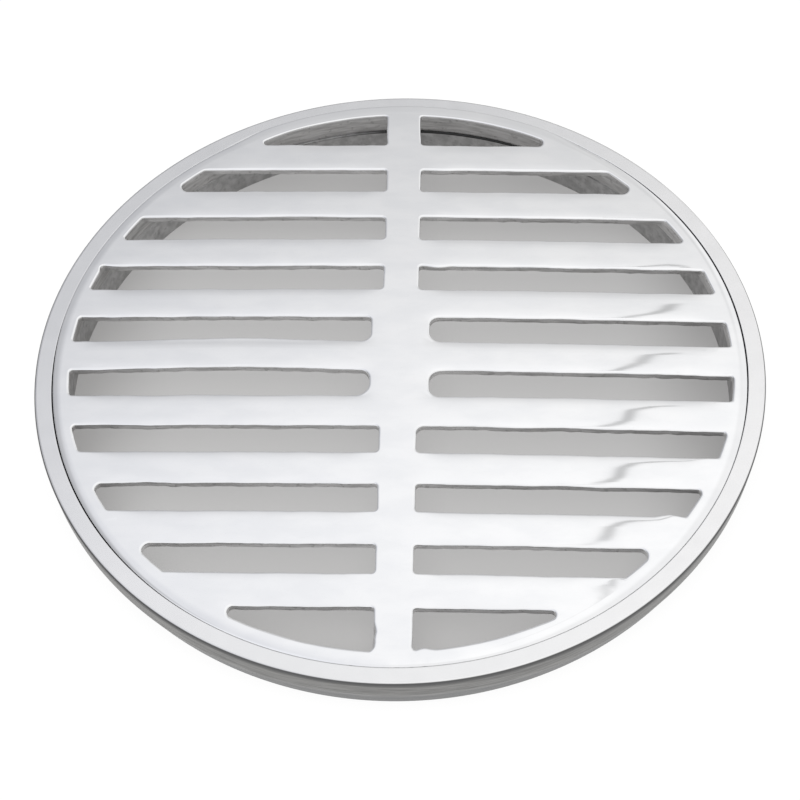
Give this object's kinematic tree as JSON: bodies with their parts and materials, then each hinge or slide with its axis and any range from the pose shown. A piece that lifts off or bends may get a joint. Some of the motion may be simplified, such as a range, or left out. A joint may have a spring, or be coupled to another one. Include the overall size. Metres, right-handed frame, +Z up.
{
  "type": "shower drain",
  "caption": "Round cast aluminium shower floor drain: a frame ring with an inner seat, and a lightly crowned slotted grate that rests in it and lifts out.",
  "frame": {"origin": "centre of the frame's underside, on the drain's axis", "axes": "+Z up out of the floor, along the drain's axis; +X along the slots; +Y along the grate's spine"},
  "size_m": [0.1998, 0.1998, 0.0181],
  "materials": {
    "frame_metal": "satin polished top, ground side, as cast inside",
    "grate_metal": "mirror polished top, as cast underneath"
  },
  "bodies": {
    "root": {"frame_ring": "frame_metal", "grate": "grate_metal"}
  },
  "joints": []
}
